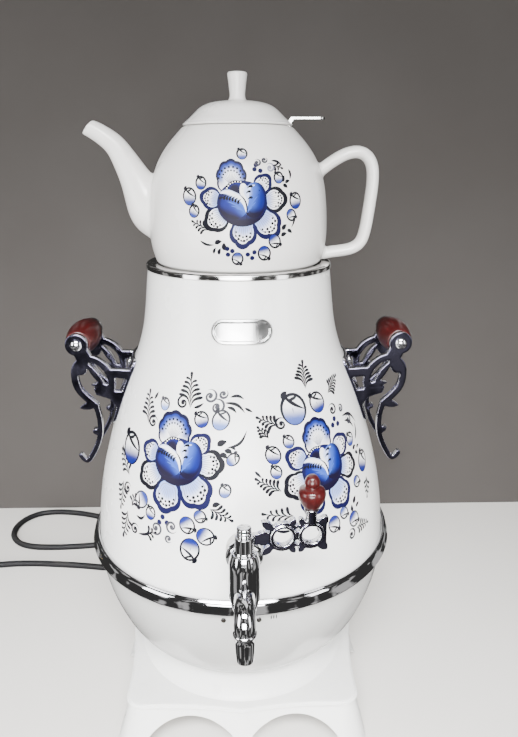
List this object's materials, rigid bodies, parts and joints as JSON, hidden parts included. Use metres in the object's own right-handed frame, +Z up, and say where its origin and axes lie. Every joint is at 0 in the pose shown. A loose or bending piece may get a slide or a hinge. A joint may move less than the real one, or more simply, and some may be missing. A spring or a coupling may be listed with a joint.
{
  "type": "electric samovar",
  "caption": "Electric samovar: flared enamelled casing on an arched plinth, tap with pierced lever, scroll handles, and a porcelain teapot with infuser on top.",
  "frame": {"origin": "on the table under the vessel's axis, level with the bottoms of the rubber pads", "axes": "+Z up, the tap points to -Y, the teapot's spout to -X and its handle to +X"},
  "size_m": [0.5519, 0.4816, 0.5242],
  "materials": {
    "plinth_white": "satin white moulding",
    "rubber_black": "matt",
    "zinc_steel": "zinc plated",
    "bowl_steel": "glossy white enamel on steel",
    "cover_steel": "plain sheet",
    "belt_chrome": "polished",
    "casing_enamel": "glossy white enamel with blue floral ornament",
    "tank_steel": "satin stainless",
    "rim_chrome": "polished",
    "stand_steel": "satin stainless",
    "element_steel": "satin stainless",
    "silicone": "matt silicone",
    "bakelite": "black phenolic",
    "block_white": "white",
    "wire_jacket": "silicone jacket",
    "lamp_lens": "clear red and amber lenses",
    "tap_chrome": "polished",
    "antique_chrome": "dark antique, polished edges",
    "red_wood": "lacquered dark red",
    "plate_steel": "bare plate with polished rim",
    "porcelain": "glazed white porcelain with blue floral ornament",
    "cord_black": "black flexible cord",
    "plug_black": "black moulding",
    "pin_brass": "nickel plated"
  },
  "bodies": {
    "samovar": {"plinth": "plinth_white", "rubber_feet": "rubber_black", "plinth_screws": "zinc_steel", "plinth_nuts": "zinc_steel", "lower_bowl": "bowl_steel", "bottom_cover": "cover_steel", "cover_screws": "zinc_steel", "belt_ring": "belt_chrome", "outer_casing": "casing_enamel", "joint_screws": "zinc_steel", "inner_tank": "tank_steel", "tank_support_ring": "cover_steel", "rim_ring": "rim_chrome", "heating_element": "element_steel", "element_seals": "silicone", "element_nuts": "pin_brass", "thermostat": "bakelite", "thermal_cutout": "bakelite", "terminal_block": "block_white", "internal_wiring": "wire_jacket", "indicator_lamps": "lamp_lens", "tap_body": "tap_chrome", "tap_gasket": "silicone", "tap_sleeve": "silicone", "tap_inner_washer": "silicone", "tap_backnut": "pin_brass", "right_handle_bracket": "antique_chrome", "left_handle_bracket": "antique_chrome", "right_grip": "red_wood", "left_grip": "red_wood", "right_grip_rod": "tap_chrome", "left_grip_rod": "tap_chrome", "handle_screws": "zinc_steel", "handle_nuts": "zinc_steel", "name_plate": "plate_steel", "cord_gland": "plug_black", "mains_cord": "cord_black", "mains_plug": "plug_black", "plug_pins": "pin_brass"},
    "teapot_stand": {"teapot_stand": "stand_steel"},
    "teapot": {"teapot_body": "porcelain", "teapot_spout": "porcelain", "teapot_handle": "porcelain"},
    "infuser": {"infuser": "stand_steel"},
    "lid": {"teapot_lid": "porcelain"},
    "tap_key": {"tap_key": "tap_chrome", "key_cap": "tap_chrome", "key_washer": "tap_chrome", "key_nut": "tap_chrome", "tap_lever": "antique_chrome", "lever_knob": "red_wood"}
  },
  "joints": [
    {"name": "teapot_stand_lift", "type": "slide", "parent": "samovar", "child": "teapot_stand", "axis": [0, 0, 1], "range_m": [0, 0.1]},
    {"name": "teapot_lift", "type": "slide", "parent": "teapot_stand", "child": "teapot", "axis": [0, 0, 1], "range_m": [0, 0.15]},
    {"name": "infuser_lift", "type": "slide", "parent": "teapot", "child": "infuser", "axis": [0, 0, 1], "range_m": [0, 0.1]},
    {"name": "lid_lift", "type": "slide", "parent": "infuser", "child": "lid", "axis": [0, 0, 1], "range_m": [0, 0.08]},
    {"name": "tap_key_turn", "type": "hinge", "parent": "samovar", "child": "tap_key", "pos_m": [0.0026, -0.162, 0.2], "axis": [0, 0, 1], "range_deg": [-90, 0]}
  ]
}
